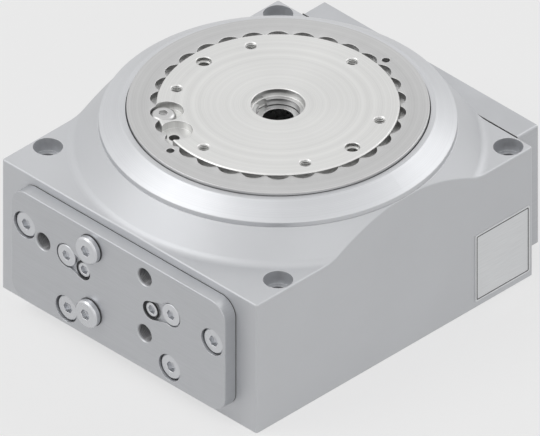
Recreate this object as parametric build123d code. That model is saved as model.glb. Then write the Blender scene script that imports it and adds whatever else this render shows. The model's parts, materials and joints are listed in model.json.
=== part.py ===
"""Rotary indexing table, in millimetres.

The origin is where the table's axis meets the surface that the casing stands on.
+Z is up along the axis, -Y is the face with the air ports, +X the face with the nameplate.
"""
from build123d import *
import math
import os

# Casing: a square block with a cone that rises to the collar
collar_margin = 0.2
deck_height = 72.0
casing_round = 1.2
cone_foot_radius = 95.4
cone_foot_round = 6.0
top_edge_round = 0.8

# Mounting holes through the four corner pads
mount_edge = 8.0
mount_hole_radius = 4.5
mount_recess_radius = 7.0
mount_recess_depth = 7.0

# Cylinders: two round bores along Y, one on each side of the pinion
bore_radius = 14.0
bore_height = 31.4
bore_roof = 3.1
piston_clearance = 0.05
piston_head_length = 12.0
piston_waist_clearance = 0.6
rack_length = 134.0
rack_end_gap = 2.0
rack_stroke_room = 44.0
rack_pitch_offset = 9.35
rack_relief = 1.0
seal_width = 2.4
seal_depth = 2.2
seal_clearance = 0.02

# Pinion and racks
tooth_module = 2.0
pinion_teeth = 38
pinion_face = 16.0
pressure_angle = 20.0
tooth_backlash = 0.14
index_angle = 60.0
pinion_room = 1.5

# Parts that turn with the pinion
bush_wall = 2.0
journal_clearance = 0.05
pinion_hub_radius = 20.0
lower_hub_radius = 17.0
thrust_washer_height = 1.5
carrier_radius = 54.0
carrier_height = 10.0
carrier_gap = 0.5
carrier_screw_circle = 16.6
carrier_screw_radius = 1.5
carrier_screw_head_radius = 2.75
carrier_screw_head_height = 3.0
carrier_screw_grip = 7.0
carrier_screws_count = 4
stop_pin_radius = 4.0
stop_pin_circle = 21.5
stop_pin_drop = 13.5
stop_pin_grip = 9.0

# Driving pawls: sprung pins that lift into the index disc
pawl_radius = 4.0
pawl_clearance = 0.06
pawl_circle = 46.0
pawl_length = 7.2
pawl_chamfer = 0.8
pawl_socket_radius = 2.8
pawl_socket_share = 0.55
pawl_rest_gap = 0.3
pawl_spring_radius = 2.2
pawl_spring_room = 2.5
spring_wire = 0.35
pawl_spring_turns = 6

# Index disc
index_radius = 63.0
index_height = 7.0
index_gap = 1.0
pocket_clearance = 0.3
pocket_depth = 4.6
pawl_pockets = 12
lock_pockets = 24
index_bore_gap = 4.0
drive_cavity_gap = 1.0
index_screw_circle = 34.0
index_screw_radius = 2.5
index_screw_head_radius = 4.25
index_screw_head_height = 4.0
index_screw_grip = 10.0
index_screws = 6
index_screw_hex = 4.0
index_screw_hex_depth = 2.0
index_dowel_radius = 2.5
index_dowel_grip = 6.0

# Bearing: one row of balls between two races
plate_radius = 56.2
plate_flange_radius = 60.0
plate_flange_height = 4.0
race_wall = 3.3
ball_radius = 4.0
ball_count = 40
ball_clearance = 0.05
race_split = 2.4
inner_race_height = 13.0
outer_race_height = 11.0
cage_height = 10.0
cage_clearance = 0.35
cage_pocket_clearance = 0.12
race_rim = 2.5
race_chamfer = 0.4
spigot_clearance = 0.02

# Ring nut on the rim of the table plate
nut_wall = 13.8
nut_height = 11.3
nut_drop = 0.7
nut_chamfer = 0.6
scallop_count = 30
scallop_radius = 6.1
scallop_inset = 3.0
scallop_depth = 3.3
scallop_start = -45.0
spanner_hole_radius = 1.9
spanner_hole_offset = 5.2
spanner_hole_depth = 4.0
spanner_hole_angle = 81.0

# Cover ring over the fixed race
collar_gap = 0.45
cover_skirt_wall = 5.55
cover_skirt_height = 3.1
cover_overhang = 6.8
cover_wall = 2.4
cover_top_drop = 2.3
cover_land = 2.6
cover_round = 0.4
collar_lip = 0.3
wiper_height = 1.8
wiper_width = 4.0

# Table plate, seen from above
table_chamfer = 0.5
thread_circle = 48.4
thread_count = 6
thread_start = 30.0
thread_hole_radius = 2.5
thread_hole_depth = 13.0
thread_mouth = 0.5
bore_mouth = 0.3
sleeve_hole_radius = 3.5
sleeve_hole_depth = 2.5
sleeve_bottom_radius = 2.8
sleeve_bottom_depth = 9.0
lock_pocket_radius = 7.6
lock_pocket_inset = 4.9
lock_pocket_angle = -129.0
spare_pocket_angle = -111.0
lock_screw_inset = 3.0
lock_screw_head_radius = 6.0
lock_screw_head_height = 3.1
lock_screw_round = 2.5
lock_screw_radius = 2.5
lock_screw_length = 10.0
lock_screw_tip_gap = 1.0
lock_screw_hex = 4.0
lock_screw_hex_depth = 1.8
spare_hole_inset = 3.8
centre_bore_radius = 12.5
centre_bore_depth = 4.0
centre_ring_wall = 1.7
centre_ring_height = 3.3
centre_ring_step = 0.5
centre_notch_width = 5.5
plate_relief_inner = 20.0
plate_relief_outer = 29.0
plate_relief_depth = 13.0

# Hollow post in the middle
post_bore_radius = 7.25
post_radius = 11.0
post_flange_radius = 20.0
post_flange_height = 4.0
post_plate_clearance = 0.3
post_top_gap = 0.3
post_screw_circle = 15.5
post_screw_radius = 2.0
post_screw_head_radius = 3.5
post_screw_head_height = 2.6
post_screws = 4
post_screw_grip = 3.6

# Shared by the small screws inside
hole_slack = 0.2
head_sink = 0.2
small_hex = 2.5
small_hex_depth = 1.5

# Base cover
cover_ledge = 8.0
base_cover_height = 5.0
gasket_thickness = 0.4
base_screws = 8
base_screw_radius = 1.5
base_screw_head_radius = 3.0
base_screw_length = 10.0
base_screw_sink = 0.1
base_screw_hex = 2.0
base_screw_hex_depth = 1.2

# Locking cylinder, upright, beside the pawl carrier
lock_x = 17.2
lock_gap = 1.5
lock_nose_radius = 3.45
lock_nose_clearance = 0.05
lock_bore_radius = 8.0
lock_cylinder_top = 44.0
lock_piston_height = 12.0
lock_cap_height = 8.0
lock_cap_radius = 9.0
lock_cap_hex = 6.0
lock_rest_gap = 0.6
lock_seal_width = 2.0
lock_seal_depth = 1.4
lock_nose_chamfer = 1.0
lock_cap_hex_depth = 4.0
lock_piston_rise = 4.0
lock_spring_radius = 4.6
lock_spring_pocket = 5.0
lock_spring_room = 0.9
lock_spring_turns = 4
lock_spring_wire = 0.5

# Shock absorber at the end of the pinion's stroke
absorber_radius = 6.0
absorber_height = 13.0
absorber_start = 24.0
absorber_end = 79.0
absorber_bore_radius = 3.6
absorber_bore_depth = 38.0
absorber_rod_radius = 2.0
absorber_rod_clearance = 0.05
absorber_tip_radius = 3.2
absorber_tip_length = 5.0
absorber_chamfer = 0.5
absorber_slot_width = 2.0
absorber_slot_depth = 2.0
absorber_piston_gap = 1.0
absorber_contact_gap = 0.3
absorber_nose_wall = 5.0
absorber_piston_length = 5.0
absorber_spring_radius = 2.9
absorber_spring_turns = 10

# Front plate
front_plate_left_edge = 13.6
front_plate_right_edge = 13.4
front_plate_bottom = 7.0
front_plate_top = 67.7
front_plate_thickness = 7.0
front_plate_corner = 9.0
plate_edge_round = 0.5
front_screw_places = [(-60.9, 49.4), (-33.7, 15.8), (33.5, 16.1), (61.2, 44.4)]
back_screw_places = [(-58.8, 49.4), (-33.7, 15.8), (33.5, 16.1), (61.2, 44.4)]
port_places = [(-48.9, 46.0), (17.2, 59.0), (17.2, 27.4)]
port_plug_places = [(-17.8, 57.9), (-17.8, 22.1)]
flush_plug_places = [(-33.7, 45.9), (34.3, 46.2)]
throttle_places = [(-23.0, 42.6), (21.0, 42.2)]

# Cap screws with low heads
screw_radius = 4.0
screw_head_radius = 6.5
screw_head_height = 5.0
screw_hex = 5.0
screw_hex_depth = 2.8
screw_recess_radius = 7.0
screw_recess_depth = 6.0
screw_grip = 14.0
screw_head_chamfer = 0.6
screw_hole_slack = 0.3
thread_clearance = 0.04

# Ports and their plugs
port_radius = 4.45
port_mouth = 0.5
channel_radius = 2.5
channel_length = 22.0
plug_channel_length = 12.0
throttle_channel_length = 9.0
vent_overlap = 4.0
gasket_port_radius = 5.0
plug_collar_radius = 7.0
plug_collar_height = 3.6
plug_chamfer = 0.8
plug_hex = 5.0
plug_thread_length = 6.5
plug_hex_depth = 2.6
flush_plug_radius = 5.7
flush_recess_radius = 6.3
throttle_recess_radius = 4.9
flush_recess_depth = 1.6
flush_plug_length = 6.0
flush_hex = 4.5
flush_chamfer = 0.3
socket_depth = 2.4
throttle_radius = 3.85
throttle_length = 9.0
throttle_hex = 4.0
throttle_sink = 0.9
throttle_clearance = 0.05
throttle_tip_radius = 1.6
throttle_tip_length = 4.0
throttle_tip_end = 0.4
throttle_chamfer = 0.4

# Back plate
back_plate_left_edge = 15.9
back_plate_right_edge = 10.4
back_plate_bottom = 5.3
back_plate_thickness = 13.6
back_channel_radius = 2.2
back_channel_heights = [59.2, 34.0]
back_channel_x = -42.5
ball_plug_stand = 1.1

# Nameplate, left bare
label_front = 45.2
label_length = 35.4
label_bottom = 3.2
label_height = 37.2
label_thickness = 0.5
label_corner = 1.8

# Heights, stacked from the base up
pinion_bottom = bore_height - pinion_face / 2
pinion_top = bore_height + pinion_face / 2
drive_floor = bore_height + bore_radius + bore_roof
carrier_bottom = drive_floor + carrier_gap
carrier_top = carrier_bottom + carrier_height
index_bottom = carrier_top + index_gap
index_top = index_bottom + index_height
race_seat = index_top + plate_flange_height
inner_race_top = race_seat + inner_race_height
outer_race_top = race_seat + outer_race_height
collar_seat = outer_race_top + cover_skirt_height
nut_top = inner_race_top + nut_height
table_top = nut_top + nut_drop
cover_top = table_top - cover_top_drop
centre_ring_top = table_top - centre_bore_depth
centre_ring_bottom = centre_ring_top - centre_ring_height
post_top = centre_ring_bottom - post_top_gap
base_floor = base_cover_height + gasket_thickness
washer_bottom = base_cover_height + post_flange_height
hub_bottom = washer_bottom + thrust_washer_height

# Radii that follow from the sizes above
pitch_radius = tooth_module * pinion_teeth / 2
pinion_tip_radius = pitch_radius + tooth_module
pinion_root_radius = pitch_radius - 1.25 * tooth_module
tooth_pitch = math.pi * tooth_module
bore_x = pitch_radius + rack_pitch_offset
pinion_cavity = pinion_tip_radius + pinion_room
base_cover_radius = pinion_cavity + cover_ledge
drive_cavity = index_radius + drive_cavity_gap
bush_inner = post_radius + journal_clearance
bush_outer = bush_inner + bush_wall
plate_bore = post_radius + post_plate_clearance
centre_ring_outer = centre_bore_radius - centre_ring_step
centre_ring_inner = centre_ring_outer - centre_ring_wall
nut_radius = plate_radius + nut_wall
scallop_circle = plate_radius - scallop_inset
spanner_hole_circle = plate_radius + spanner_hole_offset
lock_pocket_circle = plate_radius - lock_pocket_inset
lock_screw_circle = plate_radius - lock_screw_inset
spare_hole_circle = plate_radius - spare_hole_inset
ball_circle = plate_radius + race_wall + ball_radius
inner_race_outer = ball_circle - race_split / 2
outer_race_inner = ball_circle + race_split / 2
outer_race_outer = ball_circle + ball_radius + race_wall + race_rim
race_groove = ball_radius + ball_clearance
ball_height = race_seat + outer_race_height / 2
cover_inner = nut_radius + collar_gap
cover_skirt_radius = cover_inner + cover_skirt_wall
cover_radius = cover_skirt_radius + cover_overhang
casing_half_width = cover_radius + collar_margin
casing_back = casing_half_width
casing_front = rack_end_gap + rack_length + rack_stroke_room - casing_back
mount_spacing = 2 * (casing_half_width - mount_edge)
cone_top_radius = cover_radius + collar_lip
front_plate_left = casing_half_width - front_plate_left_edge
front_plate_right = casing_half_width - front_plate_right_edge
back_plate_left = casing_half_width - back_plate_left_edge
back_plate_right = casing_half_width - back_plate_right_edge
front_plane = -casing_front - gasket_thickness - front_plate_thickness
back_plane = casing_back + gasket_thickness + back_plate_thickness

# Strokes
rack_travel = pitch_radius * math.radians(index_angle)
rack_front_centre = -casing_front + rack_end_gap + rack_length / 2
rack_back_centre = rack_front_centre + rack_travel
lock_circle = carrier_radius + lock_gap + lock_nose_radius
lock_y = -math.sqrt(lock_circle ** 2 - lock_x ** 2)
lock_angle = math.degrees(math.atan2(lock_y, lock_x))
lock_piston_bottom = lock_cap_height + lock_piston_rise
lock_nose_top = index_bottom - lock_rest_gap
pawl_top = index_bottom - pawl_rest_gap
pawl_bottom = pawl_top - pawl_length
pawl_spring_bottom = pawl_bottom - pawl_spring_room
pawl_spring_pocket = pawl_length * pawl_socket_share
absorber_tip = stop_pin_radius + absorber_contact_gap

TURNED = (Align.CENTER, Align.CENTER, Align.MIN)


def disc(radius, bottom, top, x=0.0, y=0.0):
    """Upright cylinder between two heights."""
    return Pos(x, y, bottom) * Cylinder(radius, top - bottom, align=TURNED)


def tube(outer, inner, bottom, top, x=0.0, y=0.0):
    """Upright ring between two heights."""
    return disc(outer, bottom, top, x, y) - disc(inner, bottom - 1, top + 1, x, y)


def rod_y(x, z, radius, start, end):
    """Round bar along Y."""
    return Pos(x, start, z) * Rot(-90, 0, 0) * Cylinder(radius, end - start, align=TURNED)


def rod_x(y, z, radius, start, end):
    """Round bar along X."""
    return Pos(start, y, z) * Rot(0, 90, 0) * Cylinder(radius, end - start, align=TURNED)


def block(low, high):
    """Rectangular block from its lowest to its highest corner."""
    size = [b - a for a, b in zip(low, high)]
    middle = [(a + b) / 2 for a, b in zip(low, high)]
    return Pos(*middle) * Box(*size)


def polar(radius, angle):
    """Point on a circle about the table's axis, the angle in degrees from +X."""
    turn = math.radians(angle)
    return radius * math.cos(turn), radius * math.sin(turn)


def ring_places(radius, count, start=0.0):
    """Evenly spaced points on a circle about the table's axis."""
    return [polar(radius, start + 360.0 * step / count) for step in range(count)]


def spun(points):
    """Solid turned about Z from an outline of (radius, height) points."""
    outline = Polyline([(r, 0, z) for r, z in points], close=True)
    return revolve(make_face(outline), Axis.Z, 360)


def hex_hole(across, depth):
    """Hexagonal socket with its mouth at the origin, sunk along -Z."""
    sketch = RegularPolygon(across / math.sqrt(3), 6)
    return Pos(0, 0, -depth) * extrude(sketch, depth + 1)


def group(shapes):
    """Several separate solids kept in one part."""
    return Compound([solid for shape in shapes for solid in shape.solids()])


def facing_front(x, z, y):
    """Placement on the front: local +Z points out of the front plate."""
    return Pos(x, y, z) * Rot(90, 0, 0)


def facing_back(x, z, y):
    """Placement on the back: local +Z points out of the back plate."""
    return Pos(x, y, z) * Rot(-90, 0, 0)


def cap_screw(reach):
    """Low-head socket screw, head top at the origin, its shank reaching down from the head by reach."""
    head = Pos(0, 0, -screw_head_height) * Cylinder(screw_head_radius, screw_head_height, align=TURNED)
    head = chamfer(head.edges().group_by(Axis.Z)[-1], screw_head_chamfer)
    shank = Pos(0, 0, -screw_head_height - reach) * Cylinder(
        screw_radius - thread_clearance, reach, align=TURNED)
    return head + shank - hex_hole(screw_hex, screw_hex_depth)


def coil_spring(radius, wire, bottom, top, turns, x=0.0, y=0.0):
    """Compression spring standing between two heights."""
    rise = top - bottom - 2 * wire
    path = Pos(x, y, bottom + wire) * Helix(rise / turns, rise, radius)
    section = Plane(path @ 0, z_dir=path % 0) * Circle(wire)
    return sweep(section, path=path)


def casing_block():
    """Outer form: the block with its cone, edges softened."""
    reach = 2 * casing_front
    outline = make_face(Polyline([(0, 0, 0), (reach, 0, 0), (reach, 0, deck_height),
                                  (cone_foot_radius, 0, deck_height), (cone_top_radius, 0, collar_seat),
                                  (0, 0, collar_seat)], close=True))
    foot = outline.vertices().sort_by_distance((cone_foot_radius, 0, deck_height))[0]
    hill = revolve(fillet(foot, cone_foot_round), Axis.Z, 360)
    tall = block((-casing_half_width, -casing_front, 0), (casing_half_width, casing_back, collar_seat + 1))
    body = fillet(tall.edges().filter_by(Axis.Z), casing_round) & hill
    rims = [edge for edge in body.edges() if top_rim(edge)]
    return fillet(rims, top_edge_round)


def top_rim(edge):
    """Whether an edge runs along the top of the casing's four sides."""
    middle = edge.position_at(0.5)
    at_side = abs(middle.X) > casing_half_width - casing_round
    at_end = middle.Y < casing_round - casing_front or middle.Y > casing_back - casing_round
    level = abs(edge.position_at(0).Z - edge.position_at(1).Z) < 30
    return (at_side or at_end) and level and middle.Z > deck_height - 0.1


def housing():
    """Aluminium casing with its bores, cavities, seats and screw holes."""
    body = casing_block()
    body -= disc(pinion_cavity, base_floor - 1, drive_floor + 1)
    body -= disc(base_cover_radius + spigot_clearance, -1, base_floor)
    body -= disc(drive_cavity, drive_floor, race_seat + 1)
    body -= disc(outer_race_outer + spigot_clearance, race_seat, collar_seat + 1)
    body -= disc(cover_skirt_radius + spigot_clearance, outer_race_top, collar_seat + 1)
    for side in (-1, 1):
        body -= rod_y(side * bore_x, bore_height, bore_radius, -casing_front - 1, casing_back + 1)
    for x in (-mount_spacing / 2, mount_spacing / 2):
        for y in (-mount_spacing / 2, mount_spacing / 2):
            body -= disc(mount_hole_radius, -1, deck_height + 1, x, y)
            body -= disc(mount_recess_radius, deck_height - mount_recess_depth, deck_height + 20, x, y)
    body -= disc(lock_bore_radius, lock_cap_height - 1, lock_cylinder_top, lock_x, lock_y)
    body -= disc(lock_cap_radius + spigot_clearance, -1, lock_cap_height, lock_x, lock_y)
    body -= disc(lock_nose_radius + lock_nose_clearance, lock_cylinder_top - 1, drive_floor + 1,
                 lock_x, lock_y)
    body -= rod_y(stop_pin_circle, absorber_height, absorber_radius + spigot_clearance, 0, casing_back + 1)
    hole_end = -casing_front + screw_grip + 1
    back_hole_end = casing_back - screw_grip - 1
    for x, z in front_screw_places:
        body -= rod_y(x, z, screw_radius, -casing_front - 1, hole_end)
    for x, z in back_screw_places:
        body -= rod_y(x, z, screw_radius, back_hole_end, casing_back + 1)
    for x, z in port_places:
        body -= rod_y(x, z, channel_radius, -casing_front - 1, channel_end(x, z))
    for x, z in flush_plug_places + throttle_places:
        body -= rod_y(x, z, throttle_radius + throttle_clearance, -casing_front - 1,
                      -casing_front + throttle_channel_length)
    for x, z in port_plug_places:
        body -= rod_y(x, z, channel_radius, -casing_front - 1, -casing_front + plug_channel_length)
    for x, y in ring_places(base_screw_circle(), base_screws):
        body -= disc(base_screw_radius, base_floor - 1, base_screw_length + 1, x, y)
    return body


def channel_end(x, z):
    """Where the drilling behind a port stops: in the locking cylinder, a bore or the drive cavity."""
    if abs(x - lock_x) < lock_bore_radius and z < lock_cylinder_top:
        return lock_y
    if z < bore_height + bore_radius + channel_radius:
        return -casing_front + channel_length
    return -drive_cavity + vent_overlap


def base_screw_circle():
    """Circle of the base cover's screws, in the middle of the ledge."""
    return (pinion_cavity + base_cover_radius) / 2


def cover_ring():
    """Bevelled ring that clamps the fixed race; its skirt is threaded into the casing."""
    bevel_start = collar_seat + cover_wall
    ring = spun([(cover_inner, outer_race_top), (cover_skirt_radius, outer_race_top),
                 (cover_skirt_radius, collar_seat), (cover_radius, collar_seat),
                 (cover_radius, bevel_start), (cover_inner + cover_land, cover_top),
                 (cover_inner, cover_top)])
    rims = [edge for edge in ring.edges().filter_by(GeomType.CIRCLE)
            if edge.radius > cover_inner + cover_land - 0.1 and edge.center().Z > collar_seat + 0.1]
    return fillet(rims, cover_round)


def base_cover():
    """Round plate that closes the bottom and carries the post."""
    body = disc(base_cover_radius, 0, base_cover_height) - disc(post_radius, -1, base_cover_height + 1)
    sink = base_screw_head_radius - base_screw_radius
    for x, y in ring_places(base_screw_circle(), base_screws):
        body -= disc(base_screw_radius + hole_slack, -1, base_cover_height + 1, x, y)
        body -= Pos(x, y, 0) * Cone(base_screw_head_radius + base_screw_sink,
                                    base_screw_radius + base_screw_sink, sink, align=TURNED)
    for x, y in ring_places(post_screw_circle, post_screws, 45):
        body -= disc(post_screw_radius, base_cover_height - post_screw_grip - 0.4, base_cover_height + 1, x, y)
    return body


def base_cover_screws():
    """Countersunk screws under the base cover."""
    sink = base_screw_head_radius - base_screw_radius
    screws = []
    for x, y in ring_places(base_screw_circle(), base_screws):
        head = Pos(x, y, base_screw_sink) * Cone(base_screw_head_radius, base_screw_radius, sink, align=TURNED)
        shank = disc(base_screw_radius - thread_clearance, base_screw_sink, base_screw_length, x, y)
        socket = Pos(x, y, base_screw_sink) * Rot(180, 0, 0) * hex_hole(base_screw_hex, base_screw_hex_depth)
        screws.append(head + shank - socket)
    return group(screws)


def base_gasket():
    """Flat gasket between base cover and casing."""
    body = tube(base_cover_radius, pinion_cavity, base_cover_height, base_floor)
    for x, y in ring_places(base_screw_circle(), base_screws):
        body -= disc(base_screw_radius + hole_slack, base_cover_height - 1, base_floor + 1, x, y)
    return body


def centre_post():
    """Hollow post that the pinion turns on; cables pass through it."""
    body = disc(post_radius, 0, post_top)
    body += disc(post_flange_radius, base_cover_height, washer_bottom)
    body -= disc(post_bore_radius, -1, post_top + 1)
    for x, y in ring_places(post_screw_circle, post_screws, 45):
        body -= disc(post_screw_radius + hole_slack, base_cover_height - 1, washer_bottom + 1, x, y)
        body -= disc(post_screw_head_radius + hole_slack, washer_bottom - post_screw_head_height,
                     washer_bottom + 1, x, y)
    return body


def centre_post_screws():
    """Screws through the flange of the post."""
    screws = []
    seat = washer_bottom - post_screw_head_height
    for x, y in ring_places(post_screw_circle, post_screws, 45):
        head = disc(post_screw_head_radius, seat, washer_bottom - head_sink, x, y)
        shank = disc(post_screw_radius - thread_clearance, base_cover_height - post_screw_grip, seat, x, y)
        socket = Pos(x, y, washer_bottom - head_sink) * hex_hole(small_hex, small_hex_depth)
        screws.append(head + shank - socket)
    return group(screws)


def race_groove_ring():
    """Round groove that the balls run in."""
    return Pos(0, 0, ball_height) * Torus(ball_circle, race_groove)


def outer_race():
    """Fixed race of the bearing."""
    body = tube(outer_race_outer, outer_race_inner, race_seat, outer_race_top)
    body = chamfer(body.edges().filter_by(GeomType.CIRCLE).group_by(SortBy.RADIUS)[-1], race_chamfer)
    return body - race_groove_ring()


def inner_race():
    """Turning race of the bearing, clamped by the ring nut."""
    body = tube(inner_race_outer, plate_radius, race_seat, inner_race_top)
    return body - race_groove_ring()


def bearing_balls():
    """Balls of the bearing."""
    return group([Pos(x, y, ball_height) * Sphere(ball_radius)
                  for x, y in ring_places(ball_circle, ball_count)])


def ball_cage():
    """Ring that keeps the balls apart."""
    body = tube(outer_race_inner - cage_clearance, inner_race_outer + cage_clearance,
                ball_height - cage_height / 2, ball_height + cage_height / 2)
    reach = ball_circle + race_split
    drill = Cylinder(ball_radius + cage_pocket_clearance, 2 * race_split, align=TURNED)
    for step in range(ball_count):
        turn = 360.0 * step / ball_count
        body -= Rot(0, 0, turn) * Pos(reach - 2 * race_split, 0, ball_height) * Rot(0, 90, 0) * drill
    return body


def wiper_seal():
    """Felt ring under the ring nut that keeps dust out of the bearing."""
    inner = cover_inner - wiper_width
    return tube(cover_inner - journal_clearance, inner, outer_race_top, outer_race_top + wiper_height)


def ring_nut():
    """Nut on the rim of the plate, with a ring of scallops for the lock screw."""
    body = tube(nut_radius, plate_radius, inner_race_top, nut_top)
    rims = [edge for edge in body.edges().filter_by(GeomType.CIRCLE)
            if edge.radius > nut_radius - 0.1]
    body = chamfer(rims, nut_chamfer)
    for x, y in ring_places(scallop_circle, scallop_count, scallop_start):
        body -= disc(scallop_radius, nut_top - scallop_depth, nut_top + 1, x, y)
    for turn in (0, 180):
        x, y = polar(spanner_hole_circle, spanner_hole_angle + turn)
        body -= disc(spanner_hole_radius, nut_top - spanner_hole_depth, nut_top + 1, x, y)
    return body


def countersunk_hole(radius, depth, mouth, x, y):
    """Blind hole from the table's top, its mouth broken by a small cone."""
    hole = disc(radius, table_top - depth, table_top + 1, x, y)
    cone = Pos(x, y, table_top - mouth) * Cone(radius, radius + mouth, mouth, align=TURNED)
    return hole + cone


def rotary_plate():
    """Table plate: fixing holes, two lock pockets, stepped centre bore and bearing seat."""
    body = disc(plate_radius, index_top, table_top)
    body = chamfer(body.edges().group_by(Axis.Z)[-1], table_chamfer)
    body += disc(plate_flange_radius, index_top, race_seat)
    body -= disc(plate_bore, index_top - 1, table_top + 1)
    body -= disc(centre_ring_outer, centre_ring_bottom, table_top + 1)
    body -= countersunk_hole(centre_bore_radius, centre_bore_depth, bore_mouth, 0, 0)
    body -= tube(plate_relief_outer, plate_relief_inner, index_top - 1, index_top + plate_relief_depth)
    for x, y in ring_places(thread_circle, thread_count, thread_start):
        body -= countersunk_hole(thread_hole_radius, thread_hole_depth, thread_mouth, x, y)
    for x, y in ring_places(thread_circle, 2):
        body -= countersunk_hole(sleeve_hole_radius, sleeve_hole_depth, bore_mouth, x, y)
        body -= disc(sleeve_bottom_radius, table_top - sleeve_bottom_depth, table_top, x, y)
    for angle in (lock_pocket_angle, spare_pocket_angle):
        x, y = polar(lock_pocket_circle, angle)
        body -= disc(lock_pocket_radius, pocket_floor(), table_top + 1, x, y)
    for circle, angle in ((lock_screw_circle, lock_pocket_angle), (spare_hole_circle, spare_pocket_angle)):
        x, y = polar(circle, angle)
        body -= disc(lock_screw_radius, pocket_floor() - lock_screw_length, table_top, x, y)
    for x, y in ring_places(index_screw_circle, index_screws):
        body -= disc(index_screw_radius, index_top - 1, index_top + index_screw_grip + 1, x, y)
    for x, y in ring_places(index_screw_circle, 2, 360.0 / index_screws / 2):
        body -= disc(index_dowel_radius, index_top - 1, index_top + index_dowel_grip, x, y)
    return body


def pocket_floor():
    """Height of the floor of the lock pockets, level with the floor of the scallops."""
    return nut_top - scallop_depth


def ring_lock_screw():
    """Button-head screw that locks the ring nut to the plate."""
    x, y = polar(lock_screw_circle, lock_pocket_angle)
    floor = pocket_floor()
    top = floor + lock_screw_head_height
    head = disc(lock_screw_head_radius, floor, top, x, y)
    head = fillet(head.edges().group_by(Axis.Z)[-1], lock_screw_round)
    shank = disc(lock_screw_radius - thread_clearance, floor - lock_screw_length + lock_screw_tip_gap,
                 floor, x, y)
    return head + shank - Pos(x, y, top) * hex_hole(lock_screw_hex, lock_screw_hex_depth)


def centre_ring():
    """Notched ring in the centre bore."""
    body = tube(centre_ring_outer, centre_ring_inner, centre_ring_bottom, centre_ring_top)
    notch = block((-centre_ring_outer - 1, -centre_notch_width / 2, centre_ring_bottom - 1),
                  (-centre_ring_inner + centre_ring_wall, centre_notch_width / 2, centre_ring_top + 1))
    return body - notch


def index_disc():
    """Disc under the plate with pockets for the driving pawls and the locking bolt."""
    body = disc(index_radius, index_bottom, index_top)
    body -= disc(bush_outer + index_bore_gap, index_bottom - 1, index_top + 1)
    pawl_hole = pawl_radius + pocket_clearance
    for x, y in ring_places(pawl_circle, pawl_pockets, 90):
        body -= disc(pawl_hole, index_bottom - 1, index_bottom + pocket_depth, x, y)
    bolt_hole = lock_nose_radius + pocket_clearance
    for x, y in ring_places(lock_circle, lock_pockets, lock_angle):
        body -= disc(bolt_hole, index_bottom - 1, index_bottom + pocket_depth, x, y)
    for x, y in ring_places(index_screw_circle, index_screws):
        body -= disc(index_screw_radius + hole_slack, index_bottom - 1, index_top + 1, x, y)
        body -= disc(index_screw_head_radius + hole_slack, index_bottom - 1,
                     index_bottom + index_screw_head_height + head_sink, x, y)
    for x, y in ring_places(index_screw_circle, 2, 360.0 / index_screws / 2):
        body -= disc(index_dowel_radius, index_bottom + 1, index_top + 1, x, y)
    return body


def index_screw_set():
    """Cap screws that hold the index disc to the plate."""
    screws = []
    seat = index_bottom + index_screw_head_height + head_sink
    for x, y in ring_places(index_screw_circle, index_screws):
        head = disc(index_screw_head_radius, index_bottom + head_sink, seat, x, y)
        shank = disc(index_screw_radius - thread_clearance, seat, index_top + index_screw_grip, x, y)
        socket = Pos(x, y, index_bottom + head_sink) * Rot(180, 0, 0) * hex_hole(index_screw_hex,
                                                                               index_screw_hex_depth)
        screws.append(head + shank - socket)
    return group(screws)


def index_dowels():
    """Pins that line the index disc up with the plate."""
    return group([disc(index_dowel_radius, index_bottom + 1, index_top + index_dowel_grip, x, y)
                  for x, y in ring_places(index_screw_circle, 2, 360.0 / index_screws / 2)])


def involute(angle):
    """Involute function of a pressure angle in radians."""
    return math.tan(angle) - angle


def tooth_half_angle(radius):
    """Half the angle that a pinion tooth fills at a radius, in degrees."""
    base = pitch_radius * math.cos(math.radians(pressure_angle))
    local = math.acos(min(1.0, base / radius))
    at_pitch = (tooth_pitch / 2 - tooth_backlash) / 2 / pitch_radius
    return math.degrees(at_pitch + involute(math.radians(pressure_angle)) - involute(local))


def pinion_outline():
    """Outline of the toothed wheel, with a tooth centred on +X."""
    edges = []
    middle_radius = (pinion_root_radius + pinion_tip_radius) / 2
    step = 360.0 / pinion_teeth
    for tooth in range(pinion_teeth):
        centre = tooth * step
        right = [polar(r, centre - tooth_half_angle(r))
                 for r in (pinion_root_radius, middle_radius, pinion_tip_radius)]
        left = [polar(r, centre + tooth_half_angle(r))
                for r in (pinion_tip_radius, middle_radius, pinion_root_radius)]
        following = polar(pinion_root_radius, centre + step - tooth_half_angle(pinion_root_radius))
        edges.append(ThreePointArc(*right))
        edges.append(Line(right[2], left[0]))
        edges.append(ThreePointArc(*left))
        edges.append(Line(left[2], following))
    return make_face(Wire(edges))


def drive_pinion():
    """Pinion with its hub, turned in one piece."""
    body = Pos(0, 0, pinion_bottom) * extrude(pinion_outline(), pinion_face)
    body += disc(lower_hub_radius, hub_bottom, pinion_bottom)
    body += disc(pinion_hub_radius, pinion_top, carrier_bottom)
    body -= disc(bush_outer, hub_bottom - 1, carrier_bottom + 1)
    x, y = stop_pin_place()
    body -= disc(stop_pin_radius, pinion_bottom - 1, pinion_bottom + stop_pin_grip, x, y)
    for x, y in ring_places(carrier_screw_circle, carrier_screws_count, 45):
        body -= disc(carrier_screw_radius, carrier_bottom - carrier_screw_grip - 1, carrier_bottom + 1, x, y)
    return body


def stop_pin_place():
    """Centre of the stop pin at rest, a full stroke before it meets the absorber."""
    return polar(stop_pin_circle, -index_angle)


def stop_pin():
    """Pin pressed into the pinion that runs against the shock absorber."""
    x, y = stop_pin_place()
    return disc(stop_pin_radius, pinion_bottom - stop_pin_drop, pinion_bottom + stop_pin_grip, x, y)


def pinion_bush():
    """Bronze bush between pinion and post."""
    return tube(bush_outer, bush_inner, hub_bottom, carrier_top)


def thrust_washer():
    """Washer that the pinion stands on."""
    return tube(lower_hub_radius, bush_inner, washer_bottom, hub_bottom)


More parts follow.
